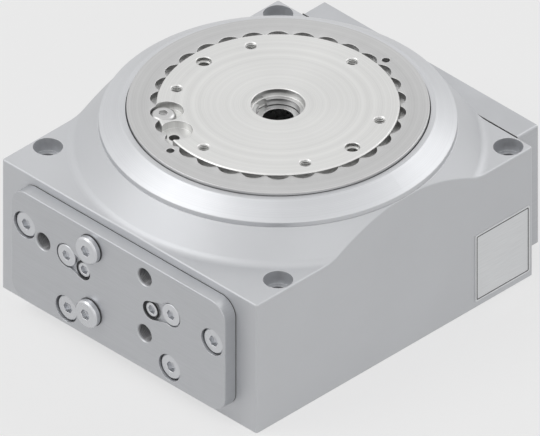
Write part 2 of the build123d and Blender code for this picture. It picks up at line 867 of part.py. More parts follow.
def pawl_carrier():
    """Disc on the pinion's hub that holds the driving pawls."""
    body = tube(carrier_radius, bush_outer, carrier_bottom, carrier_top)
    for x, y in ring_places(pawl_circle, 2, 90):
        body -= disc(pawl_radius + pawl_clearance, pawl_spring_bottom, carrier_top + 1, x, y)
    for x, y in ring_places(carrier_screw_circle, carrier_screws_count, 45):
        body -= disc(carrier_screw_radius + hole_slack, carrier_bottom - 1, carrier_top + 1, x, y)
        body -= disc(carrier_screw_head_radius + hole_slack, carrier_screw_seat(), carrier_top + 1, x, y)
    return body


def carrier_screw_seat():
    """Height that the heads of the carrier's screws stand on."""
    return carrier_top - carrier_screw_head_height - head_sink


def carrier_screws():
    """Screws between carrier and pinion."""
    screws = []
    seat = carrier_screw_seat()
    for x, y in ring_places(carrier_screw_circle, carrier_screws_count, 45):
        head = disc(carrier_screw_head_radius, seat, seat + carrier_screw_head_height, x, y)
        shank = disc(carrier_screw_radius - thread_clearance, carrier_bottom - carrier_screw_grip, seat, x, y)
        socket = Pos(x, y, seat + carrier_screw_head_height) * hex_hole(small_hex, small_hex_depth)
        screws.append(head + shank - socket)
    return group(screws)


def drive_pawls():
    """Sprung pins that drive the index disc one way."""
    pins = []
    for x, y in ring_places(pawl_circle, 2, 90):
        pin = disc(pawl_radius, pawl_bottom, pawl_top, x, y)
        pin = chamfer(pin.edges().group_by(Axis.Z)[-1], pawl_chamfer)
        pins.append(pin - disc(pawl_socket_radius, pawl_bottom - 1, pawl_bottom + pawl_spring_pocket, x, y))
    return group(pins)


def pawl_springs():
    """Springs under the driving pawls."""
    return group([coil_spring(pawl_spring_radius, spring_wire, pawl_spring_bottom,
                              pawl_bottom + pawl_spring_pocket, pawl_spring_turns, x, y)
                  for x, y in ring_places(pawl_circle, 2, 90)])


def rack_groove(side, y):
    """One tooth space of a rack, centred at y, cut toward the bore's axis."""
    slope = math.tan(math.radians(pressure_angle))
    middle = tooth_pitch / 4 + tooth_backlash / 2
    mouth = middle + 2 * tooth_module * slope
    root = middle - 1.25 * tooth_module * slope
    mouth_x = side * (pitch_radius - 2 * tooth_module)
    root_x = side * (pitch_radius + 1.25 * tooth_module)
    low = bore_height - bore_radius
    outline = Polyline([(mouth_x, y - mouth, low), (mouth_x, y + mouth, low),
                        (root_x, y + root, low), (root_x, y - root, low)], close=True)
    return extrude(make_face(outline), 2 * bore_radius, dir=(0, 0, 1))


def rack_piston(side, centre):
    """Double piston with a rack cut between its heads; side is -1 for left, 1 for right."""
    x = side * bore_x
    start = centre - rack_length / 2
    end = centre + rack_length / 2
    head_radius = bore_radius - piston_clearance
    body = rod_y(x, bore_height, bore_radius - piston_waist_clearance, start, end)
    for low, high in ((start, start + piston_head_length), (end - piston_head_length, end)):
        head = rod_y(x, bore_height, head_radius, low, high)
        middle = (low + high) / 2
        groove = rod_y(x, bore_height, head_radius + 1, middle - seal_width / 2, middle + seal_width / 2)
        groove -= rod_y(x, bore_height, head_radius - seal_depth, low, high)
        body = body + head - groove
    first = start + piston_head_length
    last = end - piston_head_length
    tip_plane = pitch_radius - tooth_module
    near, far = sorted((side * tip_plane, side * (bore_x - bore_radius - rack_relief)))
    body -= block((near, first, bore_height - bore_radius), (far, last, bore_height + bore_radius))
    half = tooth_pitch / 2
    spaces = [step * tooth_pitch for step in range(-pinion_teeth, pinion_teeth + 1)
              if first + half < step * tooth_pitch < last - half]
    for y in spaces:
        body -= rack_groove(side, y)
    return body


def piston_seals(side, centre):
    """Lip seals in the grooves of a rack piston."""
    x = side * bore_x
    rings = []
    offset = rack_length / 2 - piston_head_length / 2
    for y in (centre - offset, centre + offset):
        ring = rod_y(x, bore_height, bore_radius - seal_clearance, y - seal_width / 2, y + seal_width / 2)
        inner = bore_radius - piston_clearance - seal_depth
        ring -= rod_y(x, bore_height, inner, y - seal_width, y + seal_width)
        rings.append(ring)
    return group(rings)


def lock_bolt():
    """Piston with the bolt that locks the index disc, drawn back at rest."""
    body = disc(lock_bore_radius - piston_clearance, lock_piston_bottom,
                lock_piston_bottom + lock_piston_height, lock_x, lock_y)
    middle = lock_piston_bottom + lock_piston_height / 2
    body -= tube(lock_bore_radius + 1, lock_bore_radius - piston_clearance - lock_seal_depth,
                 middle - lock_seal_width / 2, middle + lock_seal_width / 2, lock_x, lock_y)
    nose = disc(lock_nose_radius, middle, lock_nose_top, lock_x, lock_y)
    body += chamfer(nose.edges().group_by(Axis.Z)[-1], lock_nose_chamfer)
    body -= disc(lock_spring_radius + lock_spring_room, lock_piston_bottom - 1,
                 lock_piston_bottom + lock_spring_pocket, lock_x, lock_y)
    return body


def lock_bolt_seal():
    """Seal of the locking piston."""
    middle = lock_piston_bottom + lock_piston_height / 2
    return tube(lock_bore_radius - seal_clearance, lock_bore_radius - piston_clearance - lock_seal_depth,
                middle - lock_seal_width / 2, middle + lock_seal_width / 2, lock_x, lock_y)


def lock_spring():
    """Spring that lifts the locking bolt."""
    return coil_spring(lock_spring_radius, lock_spring_wire, lock_cap_height,
                       lock_piston_bottom + lock_spring_pocket, lock_spring_turns, lock_x, lock_y)


def lock_cylinder_cap():
    """Screwed cap under the locking cylinder."""
    body = disc(lock_cap_radius, 0, lock_cap_height, lock_x, lock_y)
    return body - Pos(lock_x, lock_y, 0) * Rot(180, 0, 0) * hex_hole(lock_cap_hex, lock_cap_hex_depth)


def absorber_body():
    """Threaded sleeve of the shock absorber."""
    x = stop_pin_circle
    body = rod_y(x, absorber_height, absorber_radius, absorber_start, absorber_end)
    body = chamfer(body.edges().filter_by(GeomType.CIRCLE), absorber_chamfer)
    body -= rod_y(x, absorber_height, absorber_rod_radius + absorber_rod_clearance,
                  absorber_start - 1, absorber_start + absorber_nose_wall + 1)
    body -= rod_y(x, absorber_height, absorber_bore_radius, absorber_start + absorber_nose_wall,
                  absorber_start + absorber_nose_wall + absorber_bore_depth)
    half = absorber_slot_width / 2
    slot = block((x - half, absorber_end - absorber_slot_depth, absorber_height - 2 * absorber_radius),
                 (x + half, absorber_end + 1, absorber_height + 2 * absorber_radius))
    return body - slot


def absorber_rod():
    """Rod of the shock absorber with its striking button."""
    x = stop_pin_circle
    piston_start = absorber_start + absorber_nose_wall + absorber_piston_gap
    rod = rod_y(x, absorber_height, absorber_rod_radius, absorber_tip, piston_start + absorber_piston_length)
    tip = rod_y(x, absorber_height, absorber_tip_radius, absorber_tip, absorber_tip + absorber_tip_length)
    tip = chamfer(tip.edges().filter_by(GeomType.CIRCLE), absorber_chamfer)
    piston = rod_y(x, absorber_height, absorber_bore_radius - absorber_rod_clearance,
                   piston_start, piston_start + absorber_piston_length)
    return rod + tip + piston


def absorber_spring():
    """Return spring inside the shock absorber."""
    piston_end = absorber_start + absorber_nose_wall + absorber_piston_gap + absorber_piston_length
    floor = absorber_start + absorber_nose_wall + absorber_bore_depth
    spring = coil_spring(absorber_spring_radius, spring_wire, 0, floor - piston_end, absorber_spring_turns)
    return Pos(stop_pin_circle, piston_end, absorber_height) * Rot(-90, 0, 0) * spring


def plate_blank(left, right, bottom, top, thickness, corner):
    """Flat plate with rounded corners, its back on Z = 0 and X, Y in the plane of the plate."""
    width = right - left
    height = top - bottom
    sketch = Pos((left + right) / 2, (bottom + top) / 2) * RectangleRounded(width, height, corner)
    return extrude(sketch, thickness)


def front_blank(thickness, back_y):
    """Outline of the front plate, its back face at back_y."""
    blank = plate_blank(-front_plate_left, front_plate_right, front_plate_bottom, front_plate_top,
                        thickness, front_plate_corner)
    return Pos(0, back_y, 0) * Rot(90, 0, 0) * blank


def front_plate():
    """Front plate with screw recesses, ports and throttle recesses."""
    back_y = -casing_front - gasket_thickness
    body = front_blank(front_plate_thickness, back_y)
    rim = [edge for edge in body.edges() if edge.center().Y < front_plane + 0.1]
    body = fillet(rim, plate_edge_round)
    for x, z in front_screw_places:
        body -= rod_y(x, z, screw_radius + screw_hole_slack, front_plane - 1, back_y + 1)
        body -= rod_y(x, z, screw_recess_radius, front_plane - 1, front_plane + screw_recess_depth)
    for x, z in port_places + port_plug_places:
        body -= rod_y(x, z, port_radius, front_plane - 1, back_y + 1)
    for x, z in port_places:
        body -= facing_front(x, z, front_plane + port_mouth) * Cone(
            port_radius, port_radius + port_mouth, port_mouth, align=TURNED)
    for (x, z), (x2, z2) in zip(flush_plug_places, throttle_places):
        length = math.hypot(x2 - x, z2 - z)
        turn = math.degrees(math.atan2(z2 - z, x2 - x))
        outline = SlotCenterToCenter(length, 2 * throttle_recess_radius, rotation=turn)
        slot = extrude(outline, flush_recess_depth + 1)
        middle = facing_front((x + x2) / 2, (z + z2) / 2, front_plane + flush_recess_depth)
        body -= middle * slot
        body -= rod_y(x, z, flush_recess_radius, front_plane - 1, front_plane + flush_recess_depth)
        body -= rod_y(x, z, throttle_radius + throttle_clearance, front_plane - 1, back_y + 1)
        body -= rod_y(x2, z2, throttle_radius + throttle_clearance, front_plane - 1, back_y + 1)
    return body


def front_gasket():
    """Flat gasket behind the front plate."""
    body = front_blank(gasket_thickness, -casing_front)
    for x, z in front_screw_places:
        body -= rod_y(x, z, screw_radius + screw_hole_slack, -casing_front - 1, -casing_front + 1)
    for x, z in port_places + port_plug_places + flush_plug_places + throttle_places:
        body -= rod_y(x, z, gasket_port_radius, -casing_front - 1, -casing_front + 1)
    for side in (-1, 1):
        body -= rod_y(side * bore_x, bore_height, bore_radius, -casing_front - 1, -casing_front + 1)
    return body


def front_plate_screws():
    """Screws of the front plate."""
    head_top = front_plane + screw_recess_depth - screw_head_height
    screw = cap_screw(front_plate_thickness - screw_recess_depth + gasket_thickness + screw_grip)
    return group([facing_front(x, z, head_top) * screw for x, z in front_screw_places])


def port_plugs():
    """Hexagon-socket plugs with collars in the two ports that are not used."""
    collar = Cylinder(plug_collar_radius, plug_collar_height, align=TURNED)
    collar = chamfer(collar.edges().group_by(Axis.Z)[-1], plug_chamfer)
    thread = Pos(0, 0, -plug_thread_length) * Cylinder(
        port_radius - thread_clearance, plug_thread_length, align=TURNED)
    plug = collar + thread - Pos(0, 0, plug_collar_height) * hex_hole(plug_hex, plug_hex_depth)
    return group([facing_front(x, z, front_plane) * plug for x, z in port_plug_places])


def flush_plugs():
    """Plugs over the check valves, level with the front plate."""
    head = Cylinder(flush_plug_radius, flush_recess_depth, align=TURNED)
    head = chamfer(head.edges().group_by(Axis.Z)[-1], flush_chamfer)
    stem = Pos(0, 0, -flush_plug_length) * Cylinder(throttle_radius, flush_plug_length, align=TURNED)
    plug = head + stem - Pos(0, 0, flush_recess_depth) * hex_hole(flush_hex, socket_depth)
    floor = front_plane + flush_recess_depth
    return group([facing_front(x, z, floor) * plug for x, z in flush_plug_places])


def throttle_screw(place):
    """Needle screw that sets the speed of one cylinder."""
    x, z = place
    stem = Pos(0, 0, -throttle_length) * Cylinder(throttle_radius, throttle_length, align=TURNED)
    stem = chamfer(stem.edges().filter_by(GeomType.CIRCLE), throttle_chamfer)
    needle = Pos(0, 0, -throttle_length - throttle_tip_length) * Cone(
        throttle_tip_end, throttle_tip_radius, throttle_tip_length, align=TURNED)
    screw = stem + needle - hex_hole(throttle_hex, socket_depth)
    return facing_front(x, z, front_plane + throttle_sink) * screw


def back_blank(thickness, front_y):
    """Outline of the back plate, its inner face at front_y."""
    return block((-back_plate_left, front_y, back_plate_bottom),
                 (back_plate_right, front_y + thickness, deck_height))


def back_plate():
    """Back plate with the air channels to the cylinders."""
    inner_y = casing_back + gasket_thickness
    body = back_blank(back_plate_thickness, inner_y)
    body = fillet(body.edges().filter_by(Axis.Y), casing_round)
    outer = [edge for edge in body.edges() if edge.center().Y > back_plane - 0.1]
    body = fillet(outer, plate_edge_round)
    middle_y = inner_y + back_plate_thickness / 2
    high, low = back_channel_heights
    body -= rod_x(middle_y, high, back_channel_radius, back_channel_x, back_plate_right + 1)
    body -= rod_x(middle_y, low, back_channel_radius, bore_x, back_plate_right + 1)
    body -= disc(back_channel_radius, low, deck_height + 1, back_channel_x, middle_y)
    for x in (back_channel_x, bore_x):
        body -= rod_y(x, low, back_channel_radius, inner_y - 1, middle_y)
    for x, z in back_screw_places:
        body -= rod_y(x, z, screw_radius + screw_hole_slack, inner_y - 1, back_plane + 1)
        body -= rod_y(x, z, screw_recess_radius, back_plane - screw_recess_depth, back_plane + 1)
    return body


def back_gasket():
    """Flat gasket between casing and back plate."""
    body = back_blank(gasket_thickness, casing_back)
    for x, z in back_screw_places:
        body -= rod_y(x, z, screw_radius + screw_hole_slack, casing_back - 1, casing_back + 1)
    for side in (-1, 1):
        body -= rod_y(side * bore_x, bore_height, bore_radius, casing_back - 1, casing_back + 1)
    return body - rod_y(stop_pin_circle, absorber_height, absorber_radius, casing_back - 1, casing_back + 1)


def back_plate_screws():
    """Screws of the back plate."""
    screw = cap_screw(back_plate_thickness - screw_recess_depth + gasket_thickness + screw_grip)
    head_top = back_plane - screw_recess_depth + screw_head_height
    return group([facing_back(x, z, head_top) * screw for x, z in back_screw_places])


def channel_balls():
    """Steel balls pressed into the ends of the air channels."""
    radius = back_channel_radius
    middle_y = casing_back + gasket_thickness + back_plate_thickness / 2
    right = back_plate_right + ball_plug_stand - radius
    top = deck_height + ball_plug_stand - radius
    balls = [Pos(right, middle_y, z) * Sphere(radius) for z in back_channel_heights]
    balls.append(Pos(back_channel_x, middle_y, top) * Sphere(radius))
    return group(balls)


def nameplate():
    """Thin bare plate on the right face."""
    sketch = RectangleRounded(label_length, label_height, label_corner)
    centre = (casing_half_width, label_front + label_length / 2, label_bottom + label_height / 2)
    face = Plane(origin=centre, x_dir=(0, 1, 0), z_dir=(1, 0, 0))
    return extrude(face * sketch, label_thickness)


left_centre = rack_back_centre
right_centre = rack_front_centre
parts = {
    "housing": housing,
    "cover_ring": cover_ring,
    "base_cover": base_cover,
    "base_cover_screws": base_cover_screws,
    "base_gasket": base_gasket,
    "centre_post": centre_post,
    "centre_post_screws": centre_post_screws,
    "thrust_washer": thrust_washer,
    "outer_race": outer_race,
    "wiper_seal": wiper_seal,
    "front_plate": front_plate,
    "front_gasket": front_gasket,
    "front_plate_screws": front_plate_screws,
    "port_plugs": port_plugs,
    "flush_plugs": flush_plugs,
    "back_plate": back_plate,
    "back_gasket": back_gasket,
    "back_plate_screws": back_plate_screws,
    "channel_balls": channel_balls,
    "nameplate": nameplate,
    "lock_cylinder_cap": lock_cylinder_cap,
    "lock_spring": lock_spring,
    "absorber_body": absorber_body,
    "absorber_spring": absorber_spring,
    "rotary_plate": rotary_plate,
    "ring_nut": ring_nut,
    "ring_lock_screw": ring_lock_screw,
    "centre_ring": centre_ring,
    "inner_race": inner_race,
    "index_disc": index_disc,
    "index_disc_screws": index_screw_set,
    "index_dowels": index_dowels,
    "bearing_balls": bearing_balls,
    "ball_cage": ball_cage,
    "drive_pinion": drive_pinion,
    "pinion_bush": pinion_bush,
    "stop_pin": stop_pin,
    "pawl_carrier": pawl_carrier,
    "carrier_screws": carrier_screws,
    "pawl_springs": pawl_springs,
    "drive_pawls": drive_pawls,
    "lock_bolt": lock_bolt,
    "lock_bolt_seal": lock_bolt_seal,
    "absorber_rod": absorber_rod,
}
shapes = {name: make() for name, make in parts.items()}
shapes["rack_piston_left"] = rack_piston(-1, left_centre)
shapes["rack_piston_right"] = rack_piston(1, right_centre)
shapes["piston_seals_left"] = piston_seals(-1, left_centre)
shapes["piston_seals_right"] = piston_seals(1, right_centre)
shapes["throttle_screw_left"] = throttle_screw(throttle_places[0])
shapes["throttle_screw_right"] = throttle_screw(throttle_places[1])

os.makedirs("parts", exist_ok=True)
for name, shape in shapes.items():
    export_step(shape, f"parts/{name}.step")
print(f"{len(shapes)} parts, rack travel {rack_travel:.2f} mm, table top {table_top:.1f} mm")
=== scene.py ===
# Rotary indexing table: finishes, thread detail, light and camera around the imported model
import bmesh
import bpy
import json
import math
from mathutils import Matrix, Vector


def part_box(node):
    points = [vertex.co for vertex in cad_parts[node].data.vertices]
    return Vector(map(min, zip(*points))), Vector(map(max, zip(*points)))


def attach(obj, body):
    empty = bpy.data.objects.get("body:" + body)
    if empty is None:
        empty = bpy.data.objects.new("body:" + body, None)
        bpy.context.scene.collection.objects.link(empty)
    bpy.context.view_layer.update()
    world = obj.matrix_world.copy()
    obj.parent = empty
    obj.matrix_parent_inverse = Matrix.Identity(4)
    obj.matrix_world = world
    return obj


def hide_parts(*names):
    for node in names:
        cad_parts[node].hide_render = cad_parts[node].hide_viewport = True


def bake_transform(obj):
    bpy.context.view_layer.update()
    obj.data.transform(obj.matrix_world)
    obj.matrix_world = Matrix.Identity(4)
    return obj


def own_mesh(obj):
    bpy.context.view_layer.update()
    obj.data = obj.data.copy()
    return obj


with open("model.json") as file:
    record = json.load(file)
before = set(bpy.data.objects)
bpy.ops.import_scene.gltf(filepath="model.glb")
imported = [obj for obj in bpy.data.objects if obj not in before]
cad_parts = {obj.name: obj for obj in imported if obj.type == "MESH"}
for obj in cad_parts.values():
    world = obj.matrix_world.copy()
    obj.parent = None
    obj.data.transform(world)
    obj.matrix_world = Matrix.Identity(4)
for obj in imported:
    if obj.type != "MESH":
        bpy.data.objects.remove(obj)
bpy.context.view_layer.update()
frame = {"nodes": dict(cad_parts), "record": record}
record = frame["record"]
bodyOf = {node: body for body, nodes in record["behaviour"]["bodies"].items() for node in nodes}
slotOf = {row["node"]: row["material_slot"] for row in record["subparts"]}
mm = 0.001
print("frame loaded:", len(frame["nodes"]), "nodes")


# Small helpers for node trees

def feed(tree, value, socket):
    if isinstance(value, bpy.types.NodeSocket):
        tree.links.new(value, socket)
    elif value is not None:
        socket.default_value = value


def addNode(tree, kind, inputs=None, **settings):
    node = tree.nodes.new(kind)
    for key, value in settings.items():
        setattr(node, key, value)
    for label, value in (inputs or {}).items():
        feed(tree, value, node.inputs[label])
    return node


def maths(tree, operation, first, second=None, third=None, clamp=False):
    node = addNode(tree, "ShaderNodeMath", operation=operation, use_clamp=clamp)
    for socket, value in zip(node.inputs, (first, second, third)):
        feed(tree, value, socket)
    return node.outputs[0]


def spread(tree, value, low, high, toLow, toHigh):
    node = addNode(tree, "ShaderNodeMapRange", {"Value": value, "From Min": low, "From Max": high,
                                               "To Min": toLow, "To Max": toHigh})
    return node.outputs["Result"]


def newGroup(name, inputs, outputs, kind="ShaderNodeTree"):
    group = bpy.data.node_groups.new(name, kind)
    for label, (socketKind, value) in inputs.items():
        socket = group.interface.new_socket(label, in_out="INPUT", socket_type=socketKind)
        if value is not None:
            socket.default_value = value
    for label, socketKind in outputs.items():
        group.interface.new_socket(label, in_out="OUTPUT", socket_type=socketKind)
    return group, group.nodes.new("NodeGroupInput").outputs, group.nodes.new("NodeGroupOutput").inputs


number, vector = "NodeSocketFloat", "NodeSocketVector"


# Mask of the edges, broken up by noise: where handling has polished the finish
def edgeWearGroup():
    group, given, result = newGroup("edgeWear", {"Position": (vector, None), "Width": (number, 0.4 * mm),
                                                 "Break up": (number, 0.5)},
                                   {"Mask": number, "Normal": vector})
    rounded = addNode(group, "ShaderNodeBevel", {"Radius": given["Width"]}, samples=6)
    geometry = addNode(group, "ShaderNodeNewGeometry")
    match = addNode(group, "ShaderNodeVectorMath", operation="DOT_PRODUCT")
    feed(group, rounded.outputs["Normal"], match.inputs[0])
    feed(group, geometry.outputs["Normal"], match.inputs[1])
    edge = spread(group, match.outputs["Value"], 0.995, 0.9, 0.0, 1.0)
    noise = addNode(group, "ShaderNodeTexNoise", {"Vector": given["Position"], "Scale": 260.0, "Detail": 4.0})
    patchy = spread(group, noise.outputs["Fac"], 0.35, 0.65, 0.0, 1.0)
    kept = maths(group, "SUBTRACT", 1.0, maths(group, "MULTIPLY", patchy, given["Break up"]))
    feed(group, maths(group, "MULTIPLY", edge, kept, clamp=True), result["Mask"])
    feed(group, rounded.outputs["Normal"], result["Normal"])
    return group


# Fine blasted or moulded grain, with a slow drift of tone over it
def blastGrainGroup():
    group, given, result = newGroup("blastGrain", {"Position": (vector, None), "Size": (number, 0.35 * mm)},
                                    {"Height": number, "Tone": number, "Drift": number})
    fine = addNode(group, "ShaderNodeTexNoise", {"Vector": given["Position"], "Detail": 3.0, "Roughness": 0.6,
                                                "Scale": maths(group, "DIVIDE", 1.0, given["Size"])})
    pits = addNode(group, "ShaderNodeTexVoronoi", {"Vector": given["Position"],
                                                  "Scale": maths(group, "DIVIDE", 0.6, given["Size"])})
    height = maths(group, "ADD", fine.outputs["Fac"], maths(group, "MULTIPLY", pits.outputs["Distance"], 0.5))
    slow = addNode(group, "ShaderNodeTexNoise", {"Vector": given["Position"], "Scale": 22.0, "Detail": 5.0,
                                                "Roughness": 0.55})
    feed(group, height, result["Height"])
    feed(group, fine.outputs["Fac"], result["Tone"])
    feed(group, spread(group, slow.outputs["Fac"], 0.3, 0.7, 0.0, 1.0), result["Drift"])
    return group


# Lathe marks: fine rings about the axis of the table, uneven as a tool leaves them
def turnedLinesGroup():
    group, given, result = newGroup("turnedLines", {"Position": (vector, None), "Pitch": (number, 0.28 * mm)},
                                    {"Height": number, "Tone": number})
    parts = addNode(group, "ShaderNodeSeparateXYZ", {"Vector": given["Position"]}).outputs
    squared = maths(group, "ADD", maths(group, "MULTIPLY", parts["X"], parts["X"]),
                    maths(group, "MULTIPLY", parts["Y"], parts["Y"]))
    radius = maths(group, "SQRT", squared)
    turns = maths(group, "DIVIDE", radius, given["Pitch"])
    ring = addNode(group, "ShaderNodeTexNoise", {"W": turns, "Scale": 1.0, "Detail": 2.0},
                   noise_dimensions="1D")
    broad = addNode(group, "ShaderNodeTexNoise", {"W": turns, "Scale": 0.09, "Detail": 2.0},
                    noise_dimensions="1D")
    wave = maths(group, "SINE", maths(group, "MULTIPLY", turns, math.tau))
    height = maths(group, "ADD", ring.outputs["Fac"], maths(group, "MULTIPLY", wave, 0.22))
    feed(group, height, result["Height"])
    mixed = maths(group, "ADD", maths(group, "MULTIPLY", ring.outputs["Fac"], 0.6),
                  maths(group, "MULTIPLY", broad.outputs["Fac"], 0.4))
    feed(group, spread(group, mixed, 0.35, 0.65, 0.0, 1.0), result["Tone"])
    return group


# Long straight marks of a milling cutter or a brush; the Stretch input sets their direction
def brushedLinesGroup():
    group, given, result = newGroup("brushedLines", {
        "Position": (vector, None), "Stretch": (vector, (1, 1, 1))}, {"Height": number, "Tone": number})
    scaled = addNode(group, "ShaderNodeVectorMath", operation="MULTIPLY")
    feed(group, given["Position"], scaled.inputs[0])
    feed(group, given["Stretch"], scaled.inputs[1])
    lines = addNode(group, "ShaderNodeTexNoise", {"Vector": scaled.outputs["Vector"], "Scale": 1.0,
                                                 "Detail": 3.0})
    feed(group, lines.outputs["Fac"], result["Height"])
    feed(group, spread(group, lines.outputs["Fac"], 0.35, 0.65, 0.0, 1.0), result["Tone"])
    return group


groups = {"wear": edgeWearGroup(), "grain": blastGrainGroup(), "turned": turnedLinesGroup(),
          "brushed": brushedLinesGroup()}


def placeGroup(tree, name, inputs):
    node = tree.nodes.new("ShaderNodeGroup")
    node.node_tree = groups[name]
    for label, value in inputs.items():
        feed(tree, value, node.inputs[label])
    return node.outputs


# One finish: base colour, worn colour at the edges, grain, optional lathe or brush marks
def makeFinish(name, look):
    material = bpy.data.materials.new(name)
    material.use_nodes = True
    tree = material.node_tree
    shader = tree.nodes["Principled BSDF"]
    position = addNode(tree, "ShaderNodeTexCoord").outputs["Object"]
    grain = placeGroup(tree, "grain", {"Position": position, "Size": look["grainSize"] * mm})
    tone, height = grain["Tone"], grain["Height"]
    strength = look["grainDepth"]
    if "turnedPitch" in look:
        marks = placeGroup(tree, "turned", {"Position": position, "Pitch": look["turnedPitch"] * mm})
        tone, height, strength = marks["Tone"], marks["Height"], look["turnedDepth"]
    if "brushStretch" in look:
        marks = placeGroup(tree, "brushed", {"Position": position, "Stretch": look["brushStretch"]})
        tone, height, strength = marks["Tone"], marks["Height"], look["brushDepth"]
    shade = maths(tree, "ADD", maths(tree, "MULTIPLY", tone, look["toneSpread"]),
                  maths(tree, "MULTIPLY", grain["Drift"], look["driftSpread"]))
    dark = [c * (1 - look["toneSpread"] - look["driftSpread"]) for c in look["colour"]]
    lift = addNode(tree, "ShaderNodeMix", data_type="RGBA")
    feed(tree, maths(tree, "DIVIDE", shade, look["toneSpread"] + look["driftSpread"]), lift.inputs["Factor"])
    feed(tree, (*dark, 1), lift.inputs["A"])
    feed(tree, (*look["colour"], 1), lift.inputs["B"])
    rough = spread(tree, grain["Drift"], 0.0, 1.0, look["rough"] - look["roughSpread"],
                   look["rough"] + look["roughSpread"])
    colour, smooth = lift.outputs["Result"], None
    if look["wear"]:
        edges = placeGroup(tree, "wear", {"Position": position, "Width": look["wearWidth"] * mm,
                                          "Break up": look["wearBreakUp"]})
        smooth = edges["Normal"]
        wear = maths(tree, "MULTIPLY", edges["Mask"], look["wear"])
        worn = addNode(tree, "ShaderNodeMix", data_type="RGBA")
        feed(tree, wear, worn.inputs["Factor"])
        feed(tree, colour, worn.inputs["A"])
        feed(tree, (*look["wornColour"], 1), worn.inputs["B"])
        colour = worn.outputs["Result"]
        rough = maths(tree, "SUBTRACT", rough, maths(tree, "MULTIPLY", wear, look["wornShine"]))
    feed(tree, colour, shader.inputs["Base Color"])
    feed(tree, rough, shader.inputs["Roughness"])
    shader.inputs["Metallic"].default_value = look["metal"]
    shader.inputs["Specular IOR Level"].default_value = look.get("gloss", 0.5)
    shader.inputs["Anisotropic"].default_value = look.get("streak", 0.0)
    bump = addNode(tree, "ShaderNodeBump", {"Height": height, "Strength": strength,
                                           "Distance": look["bumpHeight"] * mm, "Normal": smooth})
    feed(tree, bump.outputs["Normal"], shader.inputs["Normal"])
    return material


metalBase = {"metal": 1.0, "grainSize": 0.4, "grainDepth": 0.25, "bumpHeight": 0.05, "toneSpread": 0.05,
             "driftSpread": 0.04, "rough": 0.35, "roughSpread": 0.05, "wear": 0.5, "wearWidth": 0.35,
             "wearBreakUp": 0.5, "wornColour": (0.93, 0.93, 0.93), "wornShine": 0.12}
looks = {
    "casingAnodised": {"colour": (0.66, 0.67, 0.69), "metal": 0.6, "rough": 0.48, "grainSize": 0.32,
                       "grainDepth": 0.5, "toneSpread": 0.06, "driftSpread": 0.05},
    "plateAnodised": {"colour": (0.58, 0.59, 0.61), "metal": 0.7, "rough": 0.40, "toneSpread": 0.05,
                      "brushStretch": (60, 60, 2600), "brushDepth": 0.22},
    "baseMilled": {"colour": (0.64, 0.65, 0.66), "turnedPitch": 0.5, "turnedDepth": 0.3},
    "collarTurned": {"colour": (0.68, 0.69, 0.71), "metal": 0.7, "streak": 0.4, "rough": 0.40,
                     "turnedPitch": 0.3, "turnedDepth": 0.35, "toneSpread": 0.07},
    "tableTurned": {"colour": (0.74, 0.74, 0.73), "streak": 0.5, "rough": 0.36, "turnedPitch": 0.26,
                    "turnedDepth": 0.4, "toneSpread": 0.12, "driftSpread": 0.05, "wear": 0.7},
    "nutTurned": {"colour": (0.58, 0.58, 0.58), "streak": 0.5, "rough": 0.36, "turnedPitch": 0.34,
                  "turnedDepth": 0.4, "toneSpread": 0.12, "driftSpread": 0.05, "wear": 0.7},
    # Thread finish darker than the plate it is cut in: painted shade, so the port holes read dark
    "cutThreadPaintedShade": {"colour": (0.36, 0.36, 0.37), "rough": 0.30, "grainSize": 0.2, "wear": 0.0},
    "hardenedSteel": {"colour": (0.58, 0.58, 0.58), "rough": 0.28, "grainSize": 0.25, "toneSpread": 0.08},
    "ballSteel": {"colour": (0.82, 0.82, 0.83), "rough": 0.10, "roughSpread": 0.03, "grainDepth": 0.05,
                  "wear": 0.0},
    "zincPlated": {"colour": (0.70, 0.71, 0.73), "rough": 0.30, "roughSpread": 0.08, "grainSize": 0.3,
                   "toneSpread": 0.10, "driftSpread": 0.10, "wear": 0.8},
    "springWire": {"colour": (0.52, 0.52, 0.53), "rough": 0.30},
    "turnedBronze": {"colour": (0.66, 0.45, 0.22), "rough": 0.33, "turnedPitch": 0.3, "turnedDepth": 0.3,
                     "wornColour": (0.85, 0.66, 0.40)},
    "printedBorder": {"colour": (0.060, 0.062, 0.065), "metal": 0.0, "rough": 0.45, "wear": 0.0,
                      "grainSize": 0.3, "grainDepth": 0.2, "toneSpread": 0.1},
    "sealRubber": {"colour": (0.030, 0.030, 0.032), "metal": 0.0, "rough": 0.62, "wear": 0.0, "gloss": 0.35,
                   "grainSize": 0.5, "grainDepth": 0.4, "toneSpread": 0.15},
    "gasketFibre": {"colour": (0.10, 0.10, 0.10), "metal": 0.0, "rough": 0.75, "wear": 0.0, "grainSize": 0.6,
                    "grainDepth": 0.6, "toneSpread": 0.2, "gloss": 0.3},
    "nameplateFoil": {"colour": (0.80, 0.81, 0.82), "metal": 0.7, "rough": 0.42, "toneSpread": 0.07,
                      "wear": 0.0, "brushStretch": (1, 90, 3600), "brushDepth": 0.1},
}
finishes = {name: makeFinish(name, {**metalBase, **look}) for name, look in looks.items()}
slotLook = {"casing_aluminium": "casingAnodised", "plate_aluminium": "plateAnodised",
            "table_steel": "tableTurned", "hard_steel": "hardenedSteel", "ball_steel": "ballSteel",
            "zinc_steel": "zincPlated", "spring_steel": "springWire", "bronze": "turnedBronze",
            "black_rubber": "sealRubber", "gasket_fibre": "gasketFibre", "nameplate_foil": "nameplateFoil"}
nodeLook = {"cover_ring": "collarTurned", "ring_lock_screw": "hardenedSteel", "ring_nut": "nutTurned",
            "base_cover": "baseMilled", "centre_ring": "nutTurned"}


def finishOf(node):
    return finishes[nodeLook.get(node, slotLook[slotOf[node]])]


for node, piece in frame["nodes"].items():
    piece.data.materials.clear()
    piece.data.materials.append(finishOf(node))
print("finishes placed:", len(finishes))


# Geometry Nodes trees: each ends in Realize Instances and Set Material

